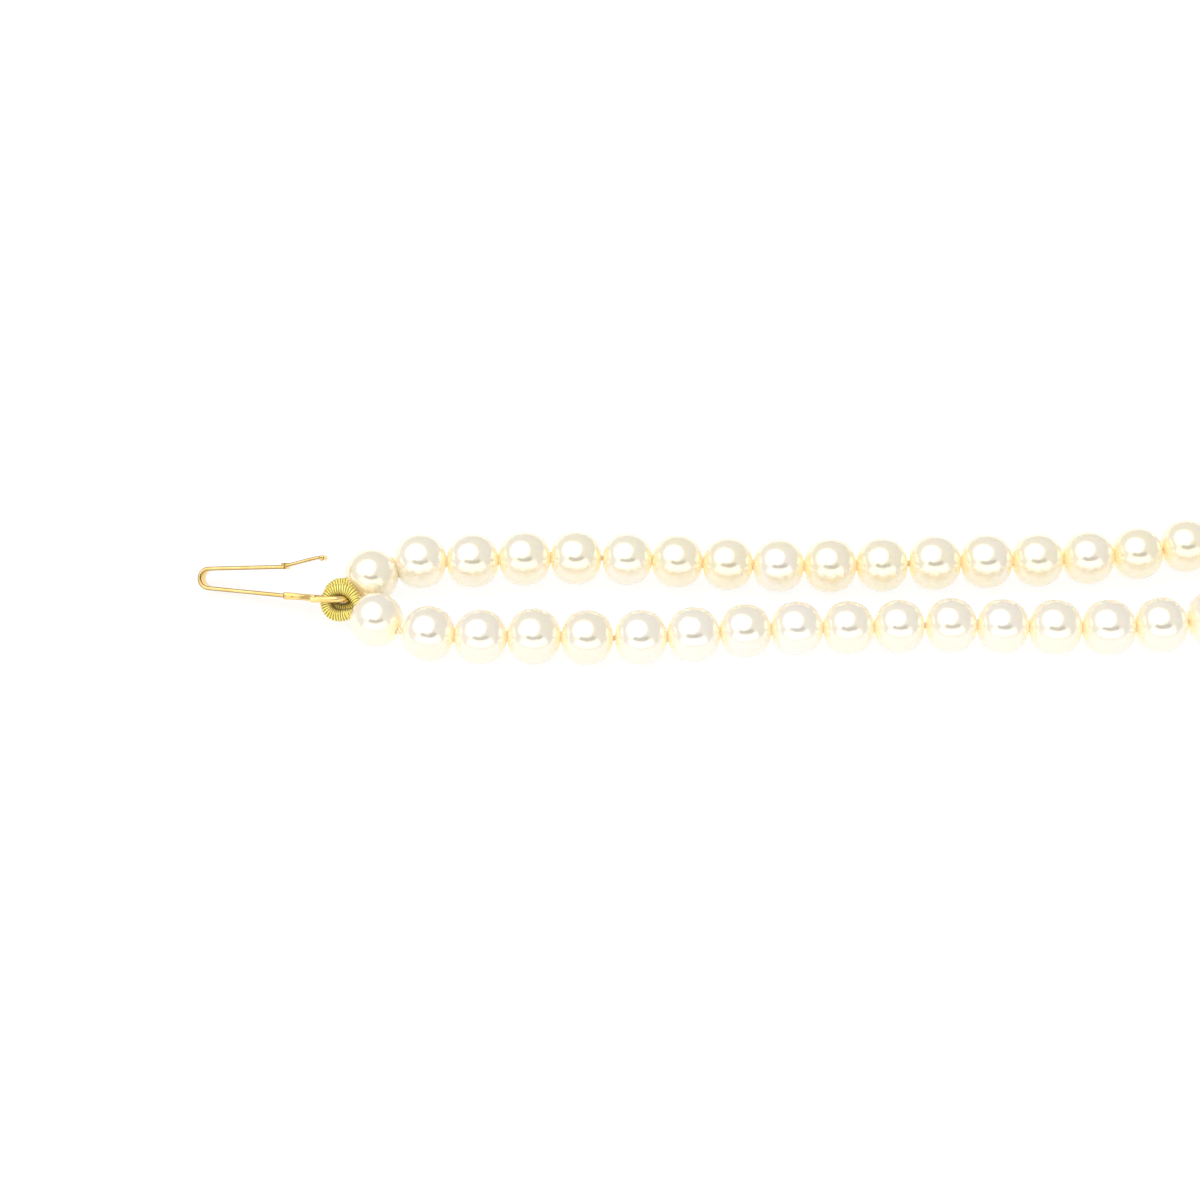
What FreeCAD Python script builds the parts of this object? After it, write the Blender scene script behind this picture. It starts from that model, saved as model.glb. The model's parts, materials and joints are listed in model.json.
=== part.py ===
import FreeCAD, Part
import math
import os

# A two-strand pearl necklace with a fish-hook clasp, lying open in a U on a flat surface.
# Millimetres and degrees, +Z up. The strands leave the hook at low Y along +X, turn round the
# front of the necklace and come back at high Y to the box that the hook snaps into.

V = FreeCAD.Vector
UP = V(0, 0, 1)

# Pearls: slightly shorter along the drill hole than across it, sorted to nearly one size.
PEARL_DIAMETER = 6.0
PEARL_LENGTH_RATIO = 0.93
PEARL_SPREAD = 0.026
PEARL_GAP = 0.16
DRILL_RADIUS = 0.40

# Silk: a thread with a tiny knot in every gap and a full knot beside each end pearl.
THREAD_RADIUS = 0.22
SMALL_KNOT_RADIUS = 0.26
END_KNOT_RADIUS = 0.42
END_KNOT_HALF_LENGTH = 0.24
END_KNOT_GAP = 0.30
SMALL_KNOT_HALF_LENGTH = 0.08
THREAD_SETBACK = 0.35
THREAD_RISE = 0.14
# Each knot's form: share of its half length along the thread, share of its extra radius.
KNOT_PROFILE = ((-1.0, 0.0), (-0.6, 0.8), (0.0, 1.0), (0.6, 0.8), (1.0, 0.0))

# Each strand hangs in sections that bend where two of them meet. The middle one is fixed.
SECTIONS = 11
FIXED_SECTION = 6

# Route of each strand between its two end knots, chosen by hand.
INNER_ROUTE = [
    (4.7, 5.25), (8.0, 5.0), (19.5, 5.55), (31.0, 5.5), (42.0, 4.8), (53.5, 4.45), (65.0, 4.9),
    (76.5, 5.3), (87.0, 6.1), (97.0, 8.2), (110.0, 12.6), (124.0, 20.2), (135.5, 31.0),
    (143.2, 44.8), (146.0, 60.2), (143.0, 75.6), (134.8, 88.6), (123.0, 97.6), (109.0, 102.4),
    (94.0, 104.2), (78.0, 103.8), (62.0, 103.2), (46.0, 103.5), (30.0, 104.1), (18.0, 103.9),
    (6.7, 104.0),
]
OUTER_ROUTE = [
    (6.05, -4.31), (9.0, -5.2), (18.0, -5.35), (27.0, -5.6), (36.0, -5.35), (44.5, -4.45),
    (55.7, -4.1), (67.0, -3.75), (78.0, -4.15), (89.7, -3.85), (95.4, -3.0), (106.0, -0.2),
    (119.5, 5.4), (133.0, 14.0), (145.0, 26.2), (152.8, 42.0), (155.8, 60.0), (152.4, 78.0),
    (143.2, 93.8), (129.0, 105.6), (112.5, 111.8), (95.0, 113.9), (78.0, 113.5), (62.0, 112.9),
    (46.0, 113.4), (30.0, 114.2), (18.0, 114.3), (6.7, 114.0),
]

# The pearl next to the clasp at each end: its centre and the heading of its drill hole.
HOOK_END_PEARLS = {"inner": (V(2.46, 3.02, 0), 56.6), "outer": (V(3.24, -3.02, 0), -34.8)}
BOX_END_PEARLS = {"inner": (V(4.4, 105.9, 0), -41.3), "outer": (V(4.4, 112.1, 0), 41.3)}

# Size of the pearls along each strand: a slow wave, as in a strand matched by eye.
SIZE_WAVES = {"inner": (9.0, -0.6), "outer": (11.5, 0.6)}

# Clasp frames: origin at the link, then the lean of the link's face and the yaw of its length.
HOOK_LINK = V(0, 0, 3.0)
HOOK_LEAN = 52.5
HOOK_YAW = 12.7
BOX_LINK = V(0.15, 109.0, 2.5)
LIFT_PIVOT_HOOK = V(0.93, 0, 3.0)
LIFT_PIVOT_BOX = V(2.3, 109.0, 3.0)
LINK_LIFT_RANGE = 15.0
LINK_PIVOT_S = -0.22

# Coiled wire loops that carry each strand's thread round the clasp's eye.
COIL_RADIUS = 0.485
NECK_RADIUS = 0.40
LOOP_BEND_RADIUS = 1.55
LOOP_HALF_STRAIGHT = 0.24
LOOP_CENTRE_S = -0.85
LOOP_STACK = 0.50
LOOP_CLEARANCE = 0.08
HOOK_LOOP_PLACES = {"inner": (0.15, -LOOP_STACK), "outer": (-0.67, LOOP_STACK)}
BOX_LOOP_T = 0.41
NECK_ROOT = (0.63, 1.25)

# The eye: a round wire bent into a U whose legs pass on both sides of the two loops.
EYE_WIRE_RADIUS = 0.36
EYE_BEND_RADIUS = 1.42
EYE_ARC_S = -1.535
EYE_ROOT_S = -3.32
HOOK_EYE_T = -0.17

# The hook: one springy strip bent into a long narrow U.
STRIP_THICKNESS = 0.36
STRIP_WIDTH = 1.8
BEND_CENTRE = (-16.2, 2.17)
BEND_RADIUS = 1.09
SHANK_SLOPE = 5.4
ARM_SLOPE = 1.2
SHANK_END_S = -5.6
CATCH_STEP = (-7.24, 3.54)
CATCH_STEP_SIZE = (0.62, 0.72)
ARM_END_T = 3.447
TAB_ROOT = (-7.04, 3.62)
TAB_TIP = (-2.84, 4.48)
TAB_WIDTH = 1.5
TAB_BULB_RADIUS = 0.32
FLEX_CLEARANCE = 0.02

# The ferrule that joins the strip to the eye.
FERRULE_S = (-7.19, -3.32)
FERRULE_T = (0.24, -0.05)
FERRULE_THICKNESS = 0.78
FERRULE_WIDTHS = (2.3, 3.56)
FERRULE_FLARE_S = -4.92
FERRULE_FLARE_WIDTH = 2.5

# The box: a hollow barrel in two half shells, flattened a little.
BOX_LENGTH = 12.6
BOX_SEMI_AXES = V(10.0, 2.8, 2.4)
BOX_WALL = 0.35
BOX_PLATE = 0.40
MOUTH_SLOT = (2.1, 3.0)
CATCH_BAR_RADIUS = 0.25
CATCH_BAR_INSET = 0.9
PIERCING_RADIUS = 0.42
# Each row of piercings: its tilt round the barrel, its pitch and its number of holes.
PIERCING_ROWS = ((0.0, 1.75, 7), (30.0, 1.75, 6), (-30.0, 1.75, 6))
# A length that reaches past the box on every side, for the tools that cut it.
CLEAR_OF_BOX = 5.0


def heading(degrees):
    return V(math.cos(math.radians(degrees)), math.sin(math.radians(degrees)), 0)


class Frame:
    """A local frame: s along the clasp towards the pearls, t across its face, w out of its face."""

    def __init__(self, origin, lean, yaw):
        tilt = math.radians(lean)
        turn = math.radians(yaw)
        outward = V(0, -math.cos(tilt), math.sin(tilt))
        self.origin = origin
        self.t = V(0, math.sin(tilt), math.cos(tilt))
        self.s = V(1, 0, 0) * math.cos(turn) + outward * math.sin(turn)
        self.w = outward * math.cos(turn) - V(1, 0, 0) * math.sin(turn)

    def at(self, s, t, w=0.0):
        return self.origin + self.s * s + self.t * t + self.w * w

    def place(self, shape):
        """Takes a shape drawn with X, Y, Z as s, t, w into the necklace."""
        axes = FreeCAD.Matrix(
            self.s.x, self.t.x, self.w.x, self.origin.x,
            self.s.y, self.t.y, self.w.y, self.origin.y,
            self.s.z, self.t.z, self.w.z, self.origin.z,
            0, 0, 0, 1,
        )
        placed = shape.copy()
        placed.Placement = FreeCAD.Placement(axes).multiply(shape.Placement)
        return placed


HOOK_FRAME = Frame(HOOK_LINK, HOOK_LEAN, HOOK_YAW)
BOX_FRAME = Frame(BOX_LINK, 90.0, 0.0)


class Pearl:
    def __init__(self, centre, axis, length, diameter):
        self.radius = diameter / 2
        self.half_length = length / 2
        self.centre = V(centre.x, centre.y, self.radius)
        self.axis = axis

    def entry(self):
        return self.centre - self.axis * self.half_length

    def exit(self):
        return self.centre + self.axis * self.half_length


def pearl_diameter(strand, index):
    period, phase = SIZE_WAVES[strand]
    wave = math.sin(2 * math.pi * (index - phase) / period)
    ripple = math.sin(2.4 * index + phase)
    return PEARL_DIAMETER * (1 + PEARL_SPREAD * (0.8 * wave + 0.3 * ripple))


def end_pearl(place, diameter):
    centre, angle = place
    return Pearl(centre, heading(angle), diameter * PEARL_LENGTH_RATIO, diameter)


def strand_pearls(strand, route):
    """The strand's pearls in order: the hook's end pearl, those along the route, the box's."""
    curve = Part.BSplineCurve()
    curve.interpolate([V(x, y, 0) for x, y in route])
    edge = curve.toShape()
    room = edge.Length - 2 * END_KNOT_GAP
    count = round(room / (PEARL_DIAMETER * PEARL_LENGTH_RATIO + PEARL_GAP))
    diameters = [pearl_diameter(strand, i + 1) for i in range(count)]
    lengths_wanted = room - (count - 1) * PEARL_GAP
    fit = lengths_wanted / (sum(diameters) * PEARL_LENGTH_RATIO)
    pearls = [end_pearl(HOOK_END_PEARLS[strand], pearl_diameter(strand, 0))]
    reached = END_KNOT_GAP
    for diameter in diameters:
        length = diameter * fit * PEARL_LENGTH_RATIO
        start = edge.valueAt(edge.getParameterByLength(reached))
        stop = edge.valueAt(edge.getParameterByLength(reached + length))
        chord = stop - start
        pearls.append(Pearl((start + stop) * 0.5, chord / chord.Length, chord.Length, diameter * fit))
        reached += length + PEARL_GAP
    last = end_pearl(BOX_END_PEARLS[strand], pearl_diameter(strand, count + 1))
    last.axis = last.axis * -1
    pearls.append(last)
    return pearls


def turning_points(route, pearls):
    """The thread's turning points: one between each two pearls, and one at each outer end."""
    first_knot = V(route[0][0], route[0][1], (pearls[0].radius + pearls[1].radius) / 2)
    last_knot = V(route[-1][0], route[-1][1], (pearls[-1].radius + pearls[-2].radius) / 2)
    points = [pearls[0].entry(), first_knot]
    for before, after in zip(pearls[1:-2], pearls[2:-1]):
        points.append((before.exit() + after.entry()) * 0.5)
    points += [last_knot, pearls[-1].exit()]
    return points


PEARLS = {"inner": strand_pearls("inner", INNER_ROUTE), "outer": strand_pearls("outer", OUTER_ROUTE)}
TURNS = {
    "inner": turning_points(INNER_ROUTE, PEARLS["inner"]),
    "outer": turning_points(OUTER_ROUTE, PEARLS["outer"]),
}


def section_bounds():
    """Where each strand divides: lists of turning-point numbers, one more than the sections."""
    inner_count = len(PEARLS["inner"])
    inner = [round(k * inner_count / SECTIONS) for k in range(SECTIONS + 1)]
    outer = [0]
    for k in inner[1:-1]:
        place = TURNS["inner"][k]
        distances = [(point - place).Length for point in TURNS["outer"]]
        outer.append(distances.index(min(distances)))
    outer.append(len(PEARLS["outer"]))
    return {"inner": inner, "outer": outer}


BOUNDS = section_bounds()


def lift_hinges():
    """For each division: the two points it bends at and its level axis, which raises the far end."""
    hinges = []
    for k in range(1, SECTIONS):
        inner = TURNS["inner"][BOUNDS["inner"][k]]
        outer = TURNS["outer"][BOUNDS["outer"][k]]
        axis = outer - inner
        axis = axis / axis.Length
        before = PEARLS["inner"][BOUNDS["inner"][k] - 1]
        away = before.axis if k >= FIXED_SECTION else before.axis * -1
        if axis.cross(away).dot(UP) < 0:
            axis = axis * -1
        hinges.append((inner, outer, axis))
    return hinges


def pearl_solid(pearl):
    """A ball squeezed along its drill hole, and drilled through both poles."""
    squeeze = FreeCAD.Matrix()
    squeeze.scale(1, 1, pearl.half_length / pearl.radius)
    ball = Part.makeSphere(pearl.radius).transformGeometry(squeeze)
    foot = V(0, 0, -pearl.radius)
    solid = ball.cut(Part.makeCylinder(DRILL_RADIUS, 2 * pearl.radius, foot, UP))
    solid.Placement = FreeCAD.Placement(pearl.centre, FreeCAD.Rotation(UP, pearl.axis))
    return solid


def rod(start, stop, radius):
    return Part.makeCylinder(radius, (stop - start).Length, start, stop - start)


def thread_circle(point, direction, radius):
    """A circle across the thread that always starts from the same side."""
    circle = Part.Wire(Part.makeCircle(radius))
    circle.Placement = FreeCAD.Placement(point, FreeCAD.Rotation(V(0, 0, 0), UP, direction, "ZYX"))
    return circle


def knot_circles(point, direction, radius, half_length):
    circles = []
    for along, swell in KNOT_PROFILE:
        place = point + direction * (along * half_length)
        wide = THREAD_RADIUS + swell * (radius - THREAD_RADIUS)
        circles.append(thread_circle(place, direction, wide))
    return circles


def thread_path(strand, k):
    """The points a section's silk runs through, each with the knot it carries or None."""
    first, last = BOUNDS[strand][k], BOUNDS[strand][k + 1]
    number = k + 1
    tied_from = first + 1 if number > FIXED_SECTION or number == 1 else first
    tied_to = last - 1 if number < FIXED_SECTION or number == SECTIONS else last
    full_knots = (1, len(TURNS[strand]) - 2)
    path = []
    for turn in range(first, last + 1):
        knot = None
        if tied_from <= turn <= tied_to:
            knot = "full" if turn in full_knots else "small"
        path.append((TURNS[strand][turn], knot))
    if number == 1:
        pearl = PEARLS[strand][0]
        path.insert(1, (pearl.exit() + pearl.axis * THREAD_RISE, None))
    return path


def path_direction(points, i):
    """Halfway between the run that reaches a point and the run that leaves it."""
    direction = V(0, 0, 0)
    for start, stop in zip(points[max(i - 1, 0):], points[max(i, 1):i + 2]):
        direction += (stop - start) / (stop - start).Length
    return direction / direction.Length


def section_thread(strand, k):
    """The silk of one section: thin through the pearls, swollen at each knot."""
    path = thread_path(strand, k)
    points = [point for point, _ in path]
    circles = []
    for i, (point, knot) in enumerate(path):
        direction = path_direction(points, i)
        if knot == "full":
            circles += knot_circles(point, direction, END_KNOT_RADIUS, END_KNOT_HALF_LENGTH)
        elif knot == "small":
            circles += knot_circles(point, direction, SMALL_KNOT_RADIUS, SMALL_KNOT_HALF_LENGTH)
        elif i == 0:
            circles.append(thread_circle(point + direction * THREAD_SETBACK, direction, THREAD_RADIUS))
        elif i == len(path) - 1:
            circles.append(thread_circle(point - direction * THREAD_SETBACK, direction, THREAD_RADIUS))
        else:
            circles.append(thread_circle(point, direction, THREAD_RADIUS))
    return Part.makeLoft(circles, True, True)


def section_pearls(strand, k):
    bounds = BOUNDS[strand]
    return Part.Compound([pearl_solid(p) for p in PEARLS[strand][bounds[k]:bounds[k + 1]]])


def loop_ring(t, w):
    """A coil bent into a ring with short straight sides, as a plain tube."""
    pieces = []
    for side in (-1, 1):
        bend = Part.makeTorus(LOOP_BEND_RADIUS, COIL_RADIUS, V(0, 0, 0), UP, -180, 180, 180)
        bend.rotate(V(0, 0, 0), UP, -90 * side)
        bend.translate(V(LOOP_CENTRE_S + side * LOOP_HALF_STRAIGHT, t, w))
        start = V(LOOP_CENTRE_S - LOOP_HALF_STRAIGHT, t + side * LOOP_BEND_RADIUS, w)
        pieces += [bend, rod(start, start + V(2 * LOOP_HALF_STRAIGHT, 0, 0), COIL_RADIUS)]
    return pieces[0].multiFuse(pieces[1:])


def seat_ball(pearl, towards_clasp):
    """A ball that fits the pearl's end by the clasp, grown by the loops' clearance."""
    radius = pearl.radius ** 2 / pearl.half_length
    centre = pearl.centre + towards_clasp * (pearl.half_length - radius)
    return Part.makeSphere(radius + LOOP_CLEARANCE, centre)


def clear_of_pearls(shape, balls, pivot):
    """Trims a loop where it seats on the end pearls, at rest and at its full lift."""
    for ball in balls:
        lifted = ball.copy()
        lifted.rotate(pivot, V(0, 1, 0), -LINK_LIFT_RANGE)
        shape = shape.cut([ball, lifted])
    return max(shape.Solids, key=lambda solid: solid.Volume)


def hook_loop(strand):
    t, w = HOOK_LOOP_PLACES[strand]
    ring = HOOK_FRAME.place(loop_ring(t, w))
    balls = [seat_ball(PEARLS[name][0], PEARLS[name][0].axis * -1) for name in PEARLS]
    return clear_of_pearls(ring, balls, LIFT_PIVOT_HOOK)


def box_loop(strand):
    """As at the hook, but lying flat, with a short neck out to the pearl's hole."""
    side = -1 if strand == "inner" else 1
    w = LOOP_STACK * side
    ring = BOX_FRAME.place(loop_ring(BOX_LOOP_T * side, w))
    root_s, root_t = NECK_ROOT
    root = BOX_FRAME.at(root_s, root_t * side, w)
    neck = rod(root, PEARLS[strand][-1].exit(), NECK_RADIUS)
    balls = [seat_ball(PEARLS[name][-1], PEARLS[name][-1].axis) for name in PEARLS]
    return clear_of_pearls(ring.fuse(neck), balls, LIFT_PIVOT_BOX)


def eye(frame, t):
    """The U of round wire, standing across the two loops."""
    bend = Part.makeTorus(EYE_BEND_RADIUS, EYE_WIRE_RADIUS, V(0, 0, 0), V(0, 1, 0), -180, 180, 180)
    bend.translate(V(EYE_ARC_S, t, 0))
    legs = [
        rod(V(EYE_ROOT_S, t, w), V(EYE_ARC_S, t, w), EYE_WIRE_RADIUS)
        for w in (-EYE_BEND_RADIUS, EYE_BEND_RADIUS)
    ]
    return frame.place(bend.multiFuse(legs))


def strip_band(points_2d, width):
    """A flat outline in s and t, drawn out across the strip's width."""
    corners = [V(s, t, -width / 2) for s, t in points_2d]
    return Part.Face(Part.makePolygon(corners + corners[:1])).extrude(V(0, 0, width))


def run_outline(start, stop, thickness):
    """The outline of a straight run of strip between two points of its middle line."""
    ds, dt = stop[0] - start[0], stop[1] - start[1]
    length = math.hypot(ds, dt)
    ns, nt = -dt / length * thickness / 2, ds / length * thickness / 2
    return [
        (start[0] + ns, start[1] + nt), (stop[0] + ns, stop[1] + nt),
        (stop[0] - ns, stop[1] - nt), (start[0] - ns, start[1] - nt),
    ]


def bend_point(angle):
    a = math.radians(angle)
    return (BEND_CENTRE[0] + BEND_RADIUS * math.cos(a), BEND_CENTRE[1] + BEND_RADIUS * math.sin(a))


SHANK_TANGENT = bend_point(270 - SHANK_SLOPE)
FLEX_POINT = bend_point(90 + ARM_SLOPE)


def shank_solid():
    run = SHANK_TANGENT[0] - SHANK_END_S
    end = (SHANK_END_S, SHANK_TANGENT[1] + run * math.tan(math.radians(SHANK_SLOPE)))
    shank = strip_band(run_outline(SHANK_TANGENT, end, STRIP_THICKNESS), STRIP_WIDTH)
    setback = math.degrees((STRIP_THICKNESS / 2 + FLEX_CLEARANCE) / BEND_RADIUS)
    start, stop = 90 + ARM_SLOPE + setback, 270 - SHANK_SLOPE
    half = STRIP_THICKNESS / 2
    centre = V(BEND_CENTRE[0], BEND_CENTRE[1], -STRIP_WIDTH / 2)
    outer = Part.makeCylinder(BEND_RADIUS + half, STRIP_WIDTH, centre, UP, stop - start)
    inner = Part.makeCylinder(BEND_RADIUS - half, STRIP_WIDTH, centre, UP, 360)
    outer.rotate(centre, UP, start)
    return shank.fuse(outer.cut(inner))


def spring_arm_solid():
    catch_s, catch_t = CATCH_STEP
    arm = strip_band(run_outline(FLEX_POINT, (catch_s, ARM_END_T), STRIP_THICKNESS), STRIP_WIDTH)
    knuckle_foot = V(FLEX_POINT[0], FLEX_POINT[1], -STRIP_WIDTH / 2)
    knuckle = Part.makeCylinder(STRIP_THICKNESS / 2, STRIP_WIDTH, knuckle_foot, UP)
    long, tall = CATCH_STEP_SIZE
    step_corner = V(catch_s - long / 2, catch_t - tall / 2, -STRIP_WIDTH / 2)
    step = Part.makeBox(long, tall, STRIP_WIDTH, step_corner)
    tab = strip_band(run_outline(TAB_ROOT, TAB_TIP, STRIP_THICKNESS), TAB_WIDTH)
    bulb_foot = V(TAB_TIP[0], TAB_TIP[1], -TAB_WIDTH / 2)
    bulb = Part.makeCylinder(TAB_BULB_RADIUS, TAB_WIDTH, bulb_foot, UP)
    return arm.multiFuse([knuckle, step, tab, bulb])


def ferrule_solid():
    """A flat block that flares where it grips the eye's two legs, fitted round the shank."""
    left, right = FERRULE_S
    side = strip_band(
        run_outline((left, FERRULE_T[0]), (right, FERRULE_T[1]), FERRULE_THICKNESS),
        FERRULE_WIDTHS[1],
    )
    outline = [
        (left, FERRULE_WIDTHS[0] / 2), (FERRULE_FLARE_S, FERRULE_FLARE_WIDTH / 2),
        (right, FERRULE_WIDTHS[1] / 2),
    ]
    outline += [(s, -w) for s, w in reversed(outline)]
    plan = [V(s, -FERRULE_THICKNESS, w) for s, w in outline]
    plate = Part.Face(Part.makePolygon(plan + plan[:1])).extrude(V(0, 2 * FERRULE_THICKNESS, 0))
    return side.common(plate).cut(shank_solid())


def box_barrel(shrink):
    """The barrel's outer form, or its hollow when shrunk by the wall."""
    axes = BOX_SEMI_AXES
    stretch = FreeCAD.Matrix()
    stretch.scale(axes.x - shrink, axes.y - shrink, axes.z - shrink)
    barrel = Part.makeSphere(1.0).transformGeometry(stretch)
    barrel.translate(V(EYE_ROOT_S - BOX_LENGTH / 2, 0, 0))
    return barrel


def box_slice(from_s, to_s, low_w=-CLEAR_OF_BOX, high_w=CLEAR_OF_BOX):
    wide = 2 * CLEAR_OF_BOX
    return Part.makeBox(to_s - from_s, wide, high_w - low_w, V(from_s, -CLEAR_OF_BOX, low_w))


def box_shell(side):
    """A half shell between the two end plates, pierced with rows of small round holes."""
    start = EYE_ROOT_S - BOX_LENGTH + BOX_PLATE
    stop = EYE_ROOT_S - BOX_PLATE
    low, high = (0.0, CLEAR_OF_BOX) if side > 0 else (-CLEAR_OF_BOX, 0.0)
    shell = box_barrel(0.0).cut(box_barrel(BOX_WALL)).common(box_slice(start, stop, low, high))
    middle = (start + stop) / 2
    drills = []
    for tilt, pitch, count in PIERCING_ROWS:
        direction = V(0, math.sin(math.radians(tilt)), side * math.cos(math.radians(tilt)))
        for i in range(count):
            foot = V(middle + (i - (count - 1) / 2) * pitch, 0, 0)
            drills.append(Part.makeCylinder(PIERCING_RADIUS, CLEAR_OF_BOX, foot, direction))
    return shell.cut(drills)


def box_plate(outer_end):
    start = EYE_ROOT_S - (BOX_LENGTH if outer_end else BOX_PLATE)
    plate = box_barrel(0.0).common(box_slice(start, start + BOX_PLATE))
    if not outer_end:
        return plate
    wide, tall = MOUTH_SLOT
    slot = Part.makeBox(3 * BOX_PLATE, wide, tall, V(start - BOX_PLATE, -wide / 2, -tall / 2))
    return plate.cut(slot)


def catch_bar():
    """The crossbar just inside the mouth, which sits in the crook of the hook."""
    s = EYE_ROOT_S - BOX_LENGTH + BOX_PLATE + CATCH_BAR_INSET
    start = V(s, -CLEAR_OF_BOX, 0)
    bar = Part.makeCylinder(CATCH_BAR_RADIUS, 2 * CLEAR_OF_BOX, start, V(0, 1, 0))
    return bar.common(box_barrel(BOX_WALL))


def all_nodes():
    nodes = {}
    for strand in ("inner", "outer"):
        for k in range(SECTIONS):
            nodes[f"{strand}_pearls_{k + 1:02d}"] = section_pearls(strand, k)
            nodes[f"{strand}_thread_{k + 1:02d}"] = section_thread(strand, k)
    nodes["hook_loop_inner"] = hook_loop("inner")
    nodes["hook_loop_outer"] = hook_loop("outer")
    nodes["hook_eye"] = eye(HOOK_FRAME, HOOK_EYE_T)
    nodes["hook_ferrule"] = HOOK_FRAME.place(ferrule_solid())
    nodes["hook_shank"] = HOOK_FRAME.place(shank_solid())
    nodes["hook_spring_arm"] = HOOK_FRAME.place(spring_arm_solid())
    nodes["box_loop_inner"] = box_loop("inner")
    nodes["box_loop_outer"] = box_loop("outer")
    nodes["box_eye"] = eye(BOX_FRAME, 0.0)
    nodes["box_end_plate"] = BOX_FRAME.place(box_plate(outer_end=False))
    nodes["box_mouth_plate"] = BOX_FRAME.place(box_plate(outer_end=True))
    nodes["box_catch_bar"] = BOX_FRAME.place(catch_bar())
    nodes["box_top_shell"] = BOX_FRAME.place(box_shell(1))
    nodes["box_bottom_shell"] = BOX_FRAME.place(box_shell(-1))
    return nodes


def centre_shift(nodes):
    """The move that puts the origin under the middle of the necklace, on the surface."""
    box = Part.Compound(list(nodes.values())).optimalBoundingBox()
    return V(-(box.XMin + box.XMax) / 2, -(box.YMin + box.YMax) / 2, 0)


NODES = all_nodes()
SHIFT = centre_shift(NODES)
os.makedirs("parts", exist_ok=True)
for name, shape in NODES.items():
    shape.translate(SHIFT)
    shape.exportStep(f"parts/{name}.step")
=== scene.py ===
import json
import math
import random

import bmesh
import bpy
import numpy as np
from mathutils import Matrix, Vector, noise


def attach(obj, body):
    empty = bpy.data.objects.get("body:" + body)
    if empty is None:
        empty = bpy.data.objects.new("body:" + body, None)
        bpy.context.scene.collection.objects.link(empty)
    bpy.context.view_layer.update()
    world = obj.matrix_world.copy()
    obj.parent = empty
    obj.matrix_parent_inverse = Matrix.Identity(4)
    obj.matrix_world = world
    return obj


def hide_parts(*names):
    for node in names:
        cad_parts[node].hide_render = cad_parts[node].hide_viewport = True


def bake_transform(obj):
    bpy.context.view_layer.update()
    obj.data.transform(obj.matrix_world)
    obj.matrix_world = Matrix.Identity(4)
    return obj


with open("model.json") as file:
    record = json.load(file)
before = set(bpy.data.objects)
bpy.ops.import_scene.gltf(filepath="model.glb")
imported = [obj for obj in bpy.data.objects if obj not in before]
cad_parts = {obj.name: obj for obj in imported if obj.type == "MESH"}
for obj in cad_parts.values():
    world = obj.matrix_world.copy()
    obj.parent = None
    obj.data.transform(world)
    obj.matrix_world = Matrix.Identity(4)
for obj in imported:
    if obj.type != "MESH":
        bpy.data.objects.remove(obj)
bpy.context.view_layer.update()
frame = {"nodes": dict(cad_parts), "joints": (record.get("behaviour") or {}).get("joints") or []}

# A two-strand pearl necklace with a fish-hook clasp. Shapes are worked out in millimetres and
# written to meshes in metres, around the CAD frame.
MM = 0.001
random.seed(20)

FRONT_SECTION = 6
SECTIONS = 11
STRANDS = ("inner", "outer")


# ---------------------------------------------------------------- shapes

class Shape:
    """Vertices and faces gathered into one mesh, with a colour attribute for each vertex."""

    def __init__(self):
        self.points = []
        self.faces = []
        self.tints = []

    def add_rings(self, rings, closed=False, caps=True, tints=None):
        """Joins rings of equally many points with quads; a ring is an array of points in mm."""
        base = len(self.points)
        count = len(rings[0])
        for i, ring in enumerate(rings):
            self.points.extend(tuple(p) for p in ring)
            tint = (0.0, 0.0, 0.0, 1.0) if tints is None else tints[i]
            self.tints.extend([tint] * count if isinstance(tint, tuple) else tint)
        spans = len(rings) if closed else len(rings) - 1
        for i in range(spans):
            here = base + i * count
            there = base + (i + 1) % len(rings) * count
            for j in range(count):
                k = (j + 1) % count
                self.faces.append((here + j, here + k, there + k, there + j))
        if caps and not closed:
            last = base + (len(rings) - 1) * count
            self.faces.append(tuple(base + j for j in reversed(range(count))))
            self.faces.append(tuple(last + j for j in range(count)))

    def make(self, name, material, smooth_angle=40):
        mesh = bpy.data.meshes.new(name)
        points = np.array(self.points) * MM
        mesh.from_pydata([tuple(p) for p in points], [], self.faces)
        tint = mesh.attributes.new("tint", "FLOAT_COLOR", "POINT")
        tint.data.foreach_set("color", np.array(self.tints, np.float32).ravel())
        mesh.materials.append(material)
        obj = bpy.data.objects.new(name, mesh)
        bpy.context.scene.collection.objects.link(obj)
        face_outward(mesh)
        soften(mesh, smooth_angle)
        return obj


def face_outward(mesh):
    work = bmesh.new()
    work.from_mesh(mesh)
    bmesh.ops.recalc_face_normals(work, faces=work.faces)
    work.to_mesh(mesh)
    work.free()


def soften(mesh, angle):
    mesh.shade_smooth()
    mesh.set_sharp_from_angle(angle=math.radians(angle))


def unit(v):
    return v / np.linalg.norm(v)


def path_frames(path, closed=False):
    """Tangent and two normals at each point, carried along the path without twisting."""
    path = np.asarray(path, float)
    if closed:
        ahead, behind = np.roll(path, -1, 0), np.roll(path, 1, 0)
        tangents = ahead - behind
    else:
        tangents = np.gradient(path, axis=0)
    tangents /= np.linalg.norm(tangents, axis=1)[:, None]
    normal = np.array([0.0, 0.0, 1.0])
    if abs(normal @ tangents[0]) > 0.95:
        normal = np.array([1.0, 0.0, 0.0])
    normals = []
    for tangent in tangents:
        normal = unit(normal - tangent * (normal @ tangent))
        normals.append(normal)
    normals = np.array(normals)
    return tangents, normals, np.cross(tangents, normals)


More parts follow.
